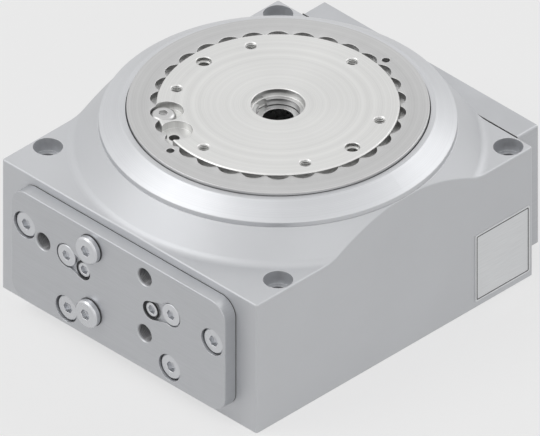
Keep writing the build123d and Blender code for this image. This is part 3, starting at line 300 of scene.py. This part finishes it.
length, whole, turnKind = "NodeSocketFloat", "NodeSocketInt", "NodeSocketVector"
geometryKind, materialKind = "NodeSocketGeometry", "NodeSocketMaterial"


def closeTree(tree, shape, given, result):
    real = addNode(tree, "GeometryNodeRealizeInstances", {"Geometry": shape}).outputs["Geometry"]
    dressed = addNode(tree, "GeometryNodeSetMaterial", {"Geometry": real, "Material": given["Finish"]})
    feed(tree, dressed.outputs["Geometry"], result["Shape"])


# The modifier's own points have to be the first input
def newShapeTree(name, points, lengths, others=()):
    inputs = {points: (geometryKind, None), **{label: (length, 0.0) for label in lengths}, **dict(others)}
    return newGroup(name, {**inputs, "Finish": (materialKind, None)}, {"Shape": geometryKind},
                    "GeometryNodeTree")


def placeShapes(tree, points, shape, given, result):
    turn = addNode(tree, "FunctionNodeEulerToRotation", {"Euler": given["Turn"]}).outputs["Rotation"]
    placed = addNode(tree, "GeometryNodeInstanceOnPoints", {
        "Points": points, "Instance": shape, "Rotation": turn}).outputs["Instances"]
    closeTree(tree, placed, given, result)


# A helical thread at each point of the mesh, running up the local Z axis from the point
def threadTree():
    tree, given, result = newShapeTree("threadCoils", "Mouths", ("Radius", "Pitch", "Length", "Ridge"), {
        "Steps": (whole, 48), "Turn": (turnKind, None)})
    turns = maths(tree, "DIVIDE", given["Length"], given["Pitch"])
    coil = addNode(tree, "GeometryNodeCurveSpiral", {
        "Resolution": given["Steps"], "Rotations": turns, "Start Radius": given["Radius"],
        "End Radius": given["Radius"], "Height": given["Length"]}).outputs["Curve"]
    upright = addNode(tree, "GeometryNodeSetCurveNormal", {"Curve": coil}, mode="Z_UP").outputs["Curve"]
    ridge = addNode(tree, "GeometryNodeCurvePrimitiveCircle", {"Resolution": 4, "Radius": given["Ridge"]})
    swept = addNode(tree, "GeometryNodeCurveToMesh", {
        "Curve": upright, "Profile Curve": ridge.outputs["Curve"], "Fill Caps": True}).outputs["Mesh"]
    placeShapes(tree, given["Mouths"], swept, given, result)
    return tree


def meshOf(name, points, edges=(), faces=()):
    mesh = bpy.data.meshes.new(name)
    mesh.from_pydata(points, edges, faces)
    piece = bpy.data.objects.new(name, mesh)
    bpy.context.scene.collection.objects.link(piece)
    return piece


def addTree(piece, tree, values):
    modifier = piece.modifiers.new(tree.name, "NODES")
    modifier.node_group = tree
    names = {item.name: item.identifier for item in tree.interface.items_tree if item.in_out == "INPUT"}
    for label, value in values.items():
        modifier[names[label]] = value
    return modifier


# Turns what the modifiers make into a plain mesh
def settle(piece):
    bpy.context.view_layer.update()
    shape = piece.evaluated_get(bpy.context.evaluated_depsgraph_get())
    mesh = bpy.data.meshes.new_from_object(shape)
    name = piece.name
    spent = piece.data
    bpy.data.objects.remove(piece)
    bpy.data.meshes.remove(spent)
    mesh.name = name
    result = bpy.data.objects.new(name, mesh)
    bpy.context.scene.collection.objects.link(result)
    return result


def dress(piece, node, replaced=()):
    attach(piece, bodyOf[node])
    if replaced:
        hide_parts(*replaced)
    return piece


threads = {
    # The port threads take the darkened thread finish: painted shade inside the port holes
    "portThreads": {"node": "front_plate", "look": "cutThreadPaintedShade", "radius": 4.45, "pitch": 0.907,
                    "length": 6.0, "ridge": 0.44, "start": 0.7, "steps": 64, "turn": (-90, 0, 0),
                    "holes": [(-48.9, 46.0), (17.2, 59.0), (17.2, 27.4)]},
    "tableThreads": {"node": "rotary_plate", "look": "tableTurned", "radius": 2.5, "pitch": 1.0,
                     "length": 11.0, "ridge": 0.33, "start": 0.8, "steps": 40, "turn": (180, 0, 0),
                     "circle": 48.4, "first": 30.0, "count": 6},
}


def threadMouths(values):
    low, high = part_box(values["node"])
    if "holes" in values:
        face = low[1] + values["start"] * mm
        return [(x * mm, face, z * mm) for x, z in values["holes"]]
    face = high[2] - values["start"] * mm
    steps = [math.radians(values["first"] + 360 * i / values["count"]) for i in range(values["count"])]
    return [(values["circle"] * mm * math.cos(a), values["circle"] * mm * math.sin(a), face) for a in steps]


coilTree = threadTree()
for name, values in threads.items():
    piece = meshOf(name, threadMouths(values))
    addTree(piece, coilTree, {
        "Radius": values["radius"] * mm, "Pitch": values["pitch"] * mm, "Length": values["length"] * mm,
        "Ridge": values["ridge"] * mm, "Steps": values["steps"],
        "Turn": tuple(math.radians(a) for a in values["turn"]), "Finish": finishes[values["look"]]})
    dress(settle(piece), values["node"])
print("threads cut:", len(threads))


headSides, shankSides = 64, 48


# Socket heads: cylinder, chamfer and shank joined, a hexagon sunk in the top, one at each point
def socketHeadTree():
    tree, given, result = newShapeTree("socketHeads", "Places", (
        "Radius", "Height", "Chamfer", "Shank", "Reach", "Hexagon", "Hexagon depth"), {
        "Turn": (turnKind, None)})

    def moved(shape, height):
        lift = addNode(tree, "ShaderNodeCombineXYZ", {"Z": height}).outputs["Vector"]
        node = addNode(tree, "GeometryNodeTransform", {"Geometry": shape, "Translation": lift})
        return node.outputs["Geometry"]

    half = maths(tree, "MULTIPLY", given["Height"], 0.5)
    wall = maths(tree, "SUBTRACT", given["Height"], given["Chamfer"])
    body = addNode(tree, "GeometryNodeMeshCylinder", {"Vertices": headSides, "Radius": given["Radius"],
                                                     "Depth": wall})
    centre = maths(tree, "SUBTRACT", maths(tree, "MULTIPLY", wall, -0.5), given["Chamfer"])
    rim = maths(tree, "SUBTRACT", given["Radius"], given["Chamfer"])
    cap = addNode(tree, "GeometryNodeMeshCone", {"Vertices": headSides, "Radius Top": rim,
                                                "Depth": given["Chamfer"], "Radius Bottom": given["Radius"]})
    reach = maths(tree, "ADD", given["Reach"], half)
    shank = addNode(tree, "GeometryNodeMeshCylinder", {"Vertices": shankSides, "Radius": given["Shank"],
                                                      "Depth": reach})
    drop = maths(tree, "SUBTRACT", maths(tree, "MULTIPLY", reach, -0.5), half)
    joined = addNode(tree, "GeometryNodeMeshBoolean", operation="UNION", solver="EXACT")
    for shape, height in ((body, centre), (shank, drop)):
        tree.links.new(moved(shape.outputs["Mesh"], height), joined.inputs["Mesh 2"])
    tree.links.new(moved(cap.outputs["Mesh"], maths(tree, "MULTIPLY", given["Chamfer"], -1.0)),
                   joined.inputs["Mesh 2"])
    deep = maths(tree, "MULTIPLY", given["Hexagon depth"], 2.0)
    corner = maths(tree, "DIVIDE", given["Hexagon"], math.sqrt(3))
    socket = addNode(tree, "GeometryNodeMeshCylinder", {"Vertices": 6, "Radius": corner, "Depth": deep})
    cut = addNode(tree, "GeometryNodeMeshBoolean", operation="DIFFERENCE", solver="EXACT")
    tree.links.new(joined.outputs["Mesh"], cut.inputs["Mesh 1"])
    tree.links.new(socket.outputs["Mesh"], cut.inputs["Mesh 2"])
    placeShapes(tree, given["Places"], cut.outputs["Mesh"], given, result)
    return tree


# Round seals: a ring at each point, a dark line at a plug's foot and painted shade round a throttle
def sealRingTree():
    tree, given, result = newShapeTree("sealRings", "Places", ("Radius", "Section"), {
        "Turn": (turnKind, None)})
    path = addNode(tree, "GeometryNodeCurvePrimitiveCircle", {"Resolution": 64, "Radius": given["Radius"]})
    section = addNode(tree, "GeometryNodeCurvePrimitiveCircle", {"Resolution": 12,
                                                                "Radius": given["Section"]})
    ring = addNode(tree, "GeometryNodeCurveToMesh", {
        "Curve": path.outputs["Curve"], "Profile Curve": section.outputs["Curve"]}).outputs["Mesh"]
    placeShapes(tree, given["Places"], ring, given, result)
    return tree


sharedScrews = [(-33.7, 15.8), (33.5, 16.1), (61.2, 44.4)]
capScrew = {"look": "zincPlated", "radius": 6.5, "height": 5.0, "chamfer": 0.6, "shank": 3.96, "hex": 5.0,
            "hexDepth": 2.8}
throttle = {"look": "zincPlated", "radius": 3.85, "height": 9.0, "chamfer": 0.4, "shank": 1.6, "reach": 4.0,
            "hex": 4.0, "hexDepth": 2.4, "side": -1}
heads = {
    "frontScrews": {**capScrew, "node": "front_plate_screws", "reach": 15.4, "side": -1,
                    "places": [(-60.9, 49.4), *sharedScrews]},
    "backScrews": {**capScrew, "node": "back_plate_screws", "reach": 22.0, "side": 1,
                   "places": [(-58.8, 49.4), *sharedScrews]},
    "raisedPlugs": {"node": "port_plugs", "look": "zincPlated", "radius": 7.0, "height": 3.6, "chamfer": 0.8,
                    "shank": 4.4, "reach": 6.5, "hex": 5.0, "hexDepth": 2.6, "side": -1,
                    "places": [(-17.8, 57.9), (-17.8, 22.1)]},
    "levelPlugs": {"node": "flush_plugs", "look": "zincPlated", "radius": 5.7, "height": 1.6, "chamfer": 0.35,
                   "shank": 3.85, "reach": 6.0, "hex": 4.5, "hexDepth": 2.4, "side": -1,
                   "places": [(-33.7, 45.9), (34.3, 46.2)]},
    "leftThrottle": {**throttle, "node": "throttle_screw_left", "places": [(-23.0, 42.6)]},
    "rightThrottle": {**throttle, "node": "throttle_screw_right", "places": [(21.0, 42.2)]},
}
seals = {
    "plugSeals": {"node": "port_plugs", "radius": 6.72, "section": 0.5, "lift": 0.25,
                  "around": ["raisedPlugs"]},
    # Throttle rings: black rubber seals sunk round each head, also painted shade for the dark throttle recess
    "throttleSealsAndShade": {"node": "front_plate", "radius": 4.38, "section": 0.42, "lift": -0.9,
                      "around": ["leftThrottle", "rightThrottle"]},
}
headSoftness, creaseAngle = 0.12, 35


def softEdges(piece, width, steps=2):
    bevel = piece.modifiers.new("softEdges", "BEVEL")
    bevel.width = width * mm
    bevel.segments = steps
    bevel.limit_method = "ANGLE"
    bevel.angle_limit = math.radians(creaseAngle)
    bevel.use_clamp_overlap = True


def facePoints(values, y):
    return [(x * mm, y, z * mm) for x, z in values["places"]]


headTree = socketHeadTree()
for name, values in heads.items():
    low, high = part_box(values["node"])
    top = high[1] if values["side"] > 0 else low[1]
    piece = meshOf(name, facePoints(values, top))
    addTree(piece, headTree, {
        "Radius": values["radius"] * mm, "Height": values["height"] * mm, "Chamfer": values["chamfer"] * mm,
        "Shank": values["shank"] * mm, "Reach": values["reach"] * mm, "Hexagon": values["hex"] * mm,
        "Hexagon depth": values["hexDepth"] * mm, "Turn": (-values["side"] * math.pi / 2, 0.0, 0.0),
        "Finish": finishes[values["look"]]})
    softEdges(piece, headSoftness)
    dress(settle(piece), values["node"], [values["node"]])

ringTree = sealRingTree()
for name, values in seals.items():
    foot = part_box("front_plate")[0][1] - values["lift"] * mm
    piece = meshOf(name, [point for key in values["around"] for point in facePoints(heads[key], foot)])
    addTree(piece, ringTree, {"Radius": values["radius"] * mm, "Section": values["section"] * mm,
                              "Turn": (math.pi / 2, 0.0, 0.0), "Finish": finishes["sealRubber"]})
    piece = dress(settle(piece), values["node"])
print("screws and plugs made:", len(heads))


# Ring nut: a rounded section swept round the axis, less a circle of scallops and the two spanner holes
def scallopedNutTree():
    tree, given, result = newShapeTree("scallopedNut", "Spanner points", (
        "Outer radius", "Inner radius", "Bottom", "Top", "Rounding", "Scallop radius", "Scallop circle",
        "Scallop depth", "Spanner radius", "Spanner depth"), {
        "Scallops": (whole, 3), "Scallop turn": (turnKind, None)})
    width = maths(tree, "SUBTRACT", given["Outer radius"], given["Inner radius"])
    height = maths(tree, "SUBTRACT", given["Top"], given["Bottom"])
    middle = maths(tree, "MULTIPLY", maths(tree, "ADD", given["Outer radius"], given["Inner radius"]), 0.5)
    path = addNode(tree, "GeometryNodeCurvePrimitiveCircle", {"Resolution": 288, "Radius": middle})
    upright = addNode(tree, "GeometryNodeSetCurveNormal", {"Curve": path.outputs["Curve"]}, mode="Z_UP")
    box = addNode(tree, "GeometryNodeCurvePrimitiveQuadrilateral", {"Width": width, "Height": height})
    section = addNode(tree, "GeometryNodeFilletCurve", {
        "Curve": box.outputs["Curve"], "Radius": given["Rounding"], "Count": 3}, mode="POLY")
    swept = addNode(tree, "GeometryNodeCurveToMesh", {
        "Curve": upright.outputs["Curve"], "Profile Curve": section.outputs["Curve"]}).outputs["Mesh"]

    def raised(shape, level, turn=None):
        place = addNode(tree, "ShaderNodeCombineXYZ", {"Z": level}).outputs["Vector"]
        return addNode(tree, "GeometryNodeTransform", {
            "Geometry": shape, "Translation": place, "Rotation": turn}).outputs["Geometry"]

    def cutter(points, radius, depth, sides):
        deep = maths(tree, "MULTIPLY", depth, 2.0)
        drill = addNode(tree, "GeometryNodeMeshCylinder", {
            "Vertices": sides, "Radius": radius, "Depth": deep}).outputs["Mesh"]
        drills = addNode(tree, "GeometryNodeInstanceOnPoints", {"Points": points, "Instance": drill})
        return addNode(tree, "GeometryNodeRealizeInstances", {
            "Geometry": drills.outputs["Instances"]}).outputs["Geometry"]

    around = addNode(tree, "GeometryNodeMeshCircle", {"Vertices": given["Scallops"],
                                                      "Radius": given["Scallop circle"]}).outputs["Mesh"]
    around = raised(around, given["Top"], given["Scallop turn"])
    half = maths(tree, "MULTIPLY", maths(tree, "ADD", given["Top"], given["Bottom"]), 0.5)
    cut = addNode(tree, "GeometryNodeMeshBoolean", {"Self Intersection": True}, operation="DIFFERENCE",
                  solver="EXACT")
    tree.links.new(raised(swept, half), cut.inputs["Mesh 1"])
    tree.links.new(cutter(around, given["Scallop radius"], given["Scallop depth"], 64), cut.inputs["Mesh 2"])
    tree.links.new(cutter(given["Spanner points"], given["Spanner radius"], given["Spanner depth"], 32),
                   cut.inputs["Mesh 2"])
    closeTree(tree, cut.outputs["Mesh"], given, result)
    return tree


nut = {"look": "nutTurned", "outer": 70.0, "inner": 56.2, "rounding": 0.5, "softness": 0.15,
       "scallops": 30, "scallopRadius": 6.1, "scallopCircle": 53.2, "scallopDepth": 3.3,
       "scallopStart": -45.0,
       "spannerRadius": 1.9, "spannerCircle": 61.4, "spannerDepth": 4.0, "spannerAngle": 81.0}


def makeRingNut():
    low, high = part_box("ring_nut")
    turns = [math.radians(nut["spannerAngle"] + turn) for turn in (0, 180)]
    points = [(nut["spannerCircle"] * mm * math.cos(a), nut["spannerCircle"] * mm * math.sin(a), high[2])
              for a in turns]
    piece = meshOf("scallopedNut", points)
    addTree(piece, scallopedNutTree(), {
        "Outer radius": nut["outer"] * mm, "Inner radius": nut["inner"] * mm,
        "Bottom": low[2], "Top": high[2], "Rounding": nut["rounding"] * mm, "Scallops": nut["scallops"],
        "Scallop radius": nut["scallopRadius"] * mm, "Scallop circle": nut["scallopCircle"] * mm,
        "Scallop depth": nut["scallopDepth"] * mm,
        "Scallop turn": (0.0, 0.0, math.radians(nut["scallopStart"])),
        "Spanner radius": nut["spannerRadius"] * mm, "Spanner depth": nut["spannerDepth"] * mm,
        "Finish": finishes[nut["look"]]})
    softEdges(piece, nut["softness"])
    dress(settle(piece), "ring_nut", ["ring_nut"])


makeRingNut()
print("ring nut made")


# The nameplate is bare: a thin foil with a dark printed border that follows its edge
foil = {"corner": 0.9, "outerCorner": 0.72, "innerCorner": 0.36, "inset": 0.8, "line": 0.5, "proud": 0.04,
        "steps": 6}


def roundedLoop(low, high, inset, corner):
    points = []
    low, high = [v + inset * mm for v in low], [v - inset * mm for v in high]
    corners = ((high[0], high[1]), (low[0], high[1]), (low[0], low[1]), (high[0], low[1]))
    for index, (y, z) in enumerate(corners):
        centreY = y - corner * mm if y == high[0] else y + corner * mm
        centreZ = z - corner * mm if z == high[1] else z + corner * mm
        for step in range(foil["steps"] + 1):
            angle = math.pi / 2 * (index + step / foil["steps"])
            points.append((centreY + corner * mm * math.cos(angle), centreZ + corner * mm * math.sin(angle)))
    return points


def foilPiece(name, loops, front, back, look):
    count = len(loops[0])
    points = [(x, y, z) for x in (front, back) for loop in loops for y, z in loop]
    faces = []
    pairs = [(0, 1)] if len(loops) == 1 else [(0, 1), (2, 3), (0, 2), (1, 3)]
    for i in range(count):
        j = (i + 1) % count
        faces += [(a * count + i, a * count + j, b * count + j, b * count + i) for a, b in pairs]
    if len(loops) == 1:
        faces += [tuple(range(count)), tuple(range(count, 2 * count))]
    piece = meshOf(name, points, (), faces)
    shape = bmesh.new()
    shape.from_mesh(piece.data)
    bmesh.ops.recalc_face_normals(shape, faces=shape.faces)
    shape.to_mesh(piece.data)
    shape.free()
    piece.data.materials.append(finishes[look])
    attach(piece, bodyOf["nameplate"])
    return piece


def makeNameplate():
    low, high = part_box("nameplate")
    face = high[0] - foil["proud"] * mm
    edge = roundedLoop(low[1:], high[1:], 0.0, foil["corner"])
    outer = roundedLoop(low[1:], high[1:], foil["inset"], foil["outerCorner"])
    inner = roundedLoop(low[1:], high[1:], foil["inset"] + foil["line"], foil["innerCorner"])
    plate = foilPiece("foilPlate", [edge], face, low[0], "nameplateFoil")
    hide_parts("nameplate")
    sunk = face - foil["proud"] * mm
    foilPiece("foilBorder", [outer, inner], high[0], sunk, "printedBorder")


makeNameplate()
print("nameplate made")


# Springs, copied from their own solids: the pawl and lock coils stay in place with no body, the absorber's
# moves with its body
springs = {
    "pawlCoils": {"node": "pawl_springs", "moved": "pawls"},
    "lockCoil": {"node": "lock_spring", "moved": "lock"},
    "absorberCoil": {"node": "absorber_spring", "joint": "absorber_stroke", "keep": 0.75},
}


def makeCoil(name, values):
    node = values["node"]
    source = frame["nodes"][node]
    mesh = source.data.copy()
    mesh.transform(source.matrix_world)
    mesh.name = name
    piece = bpy.data.objects.new(name, mesh)
    bpy.context.scene.collection.objects.link(piece)
    if "moved" in values:
        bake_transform(piece)
        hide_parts(node)
    else:
        dress(piece, node, (node,))
        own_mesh(piece)


for name, values in springs.items():
    makeCoil(name, values)
print("springs made")


# Floor, light and camera

studio = {"floorSize": 6.0, "floorDrop": 0.0001, "floorColour": (0.86, 0.86, 0.86), "floorWhite": 0.6,
          "worldLight": 0.40, "look": (0, 0, 0.05),
          "lamps": [{"name": "keyLamp", "place": (-0.55, -0.75, 1.15), "size": 1.0, "power": 4.6},
                    {"name": "fillLamp", "place": (1.1, -0.35, 0.65), "size": 0.8, "power": 1.0},
                    {"name": "backLamp", "place": (0.2, 1.0, 0.9), "size": 0.8, "power": 2.0}]}


def rayMask(tree):
    paths = addNode(tree, "ShaderNodeLightPath").outputs
    seen = maths(tree, "MAXIMUM", paths["Is Camera Ray"], paths["Is Glossy Ray"])
    return maths(tree, "MAXIMUM", seen, paths["Is Transmission Ray"])


def makeFloor():
    half = studio["floorSize"] / 2
    mesh = bpy.data.meshes.new("floor")
    flat = ((-half, -half), (half, -half), (half, half), (-half, half))
    corners = [(x, y, -studio["floorDrop"]) for x, y in flat]
    mesh.from_pydata(corners, [], [(0, 1, 2, 3)])
    floor = bpy.data.objects.new("floor", mesh)
    bpy.context.scene.collection.objects.link(floor)
    material = bpy.data.materials.new("floorPaper")
    material.use_nodes = True
    tree = material.node_tree
    tree.nodes.clear()
    matte = addNode(tree, "ShaderNodeBsdfDiffuse", {"Color": (*studio["floorColour"], 1)})
    glow = addNode(tree, "ShaderNodeEmission", {"Strength": 1.0})
    white = maths(tree, "MULTIPLY", rayMask(tree), studio["floorWhite"])
    mix = addNode(tree, "ShaderNodeMixShader", {"Fac": white})
    feed(tree, matte.outputs[0], mix.inputs[1])
    feed(tree, glow.outputs[0], mix.inputs[2])
    feed(tree, mix.outputs[0], addNode(tree, "ShaderNodeOutputMaterial").inputs["Surface"])
    mesh.materials.append(material)


def makeWorld():
    world = bpy.data.worlds.new("studioWorld")
    bpy.context.scene.world = world
    world.use_nodes = True
    tree = world.node_tree
    strength = spread(tree, rayMask(tree), 0.0, 1.0, studio["worldLight"], 1.0)
    feed(tree, strength, tree.nodes["Background"].inputs["Strength"])
    tree.nodes["Background"].inputs["Color"].default_value = (1, 1, 1, 1)


def makeLamps(target):
    for values in studio["lamps"]:
        light = bpy.data.lights.new(values["name"], "AREA")
        light.shape = "DISK"
        light.size = values["size"]
        light.energy = values["power"]
        lamp = bpy.data.objects.new(values["name"], light)
        lamp.location = values["place"]
        lamp.rotation_euler = (target - lamp.location).to_track_quat("-Z", "Y").to_euler()
        bpy.context.scene.collection.objects.link(lamp)


# The drawing is a true isometric, so the camera has no perspective
shot = {"widthSeen": 0.24885, "distance": 2.0, "azimuth": 45.0, "elevation": 35.264,
        "target": (0.01367, -0.01895, 0.048)}


def makeCamera():
    data = bpy.data.cameras.new("shotCamera")
    data.type = "ORTHO"
    data.ortho_scale = shot["widthSeen"]
    camera = bpy.data.objects.new("shotCamera", data)
    bpy.context.scene.collection.objects.link(camera)
    turn, rise = math.radians(shot["azimuth"]), math.radians(shot["elevation"])
    away = Vector((math.sin(turn) * math.cos(rise), -math.cos(turn) * math.cos(rise), math.sin(rise)))
    camera.location = Vector(shot["target"]) + away * shot["distance"]
    camera.rotation_euler = (-away).to_track_quat("-Z", "Y").to_euler()
    bpy.context.scene.camera = camera


makeFloor()
makeWorld()
makeLamps(Vector(studio["look"]))
makeCamera()
bpy.context.scene.view_settings.view_transform = "Standard"
print("studio ready")
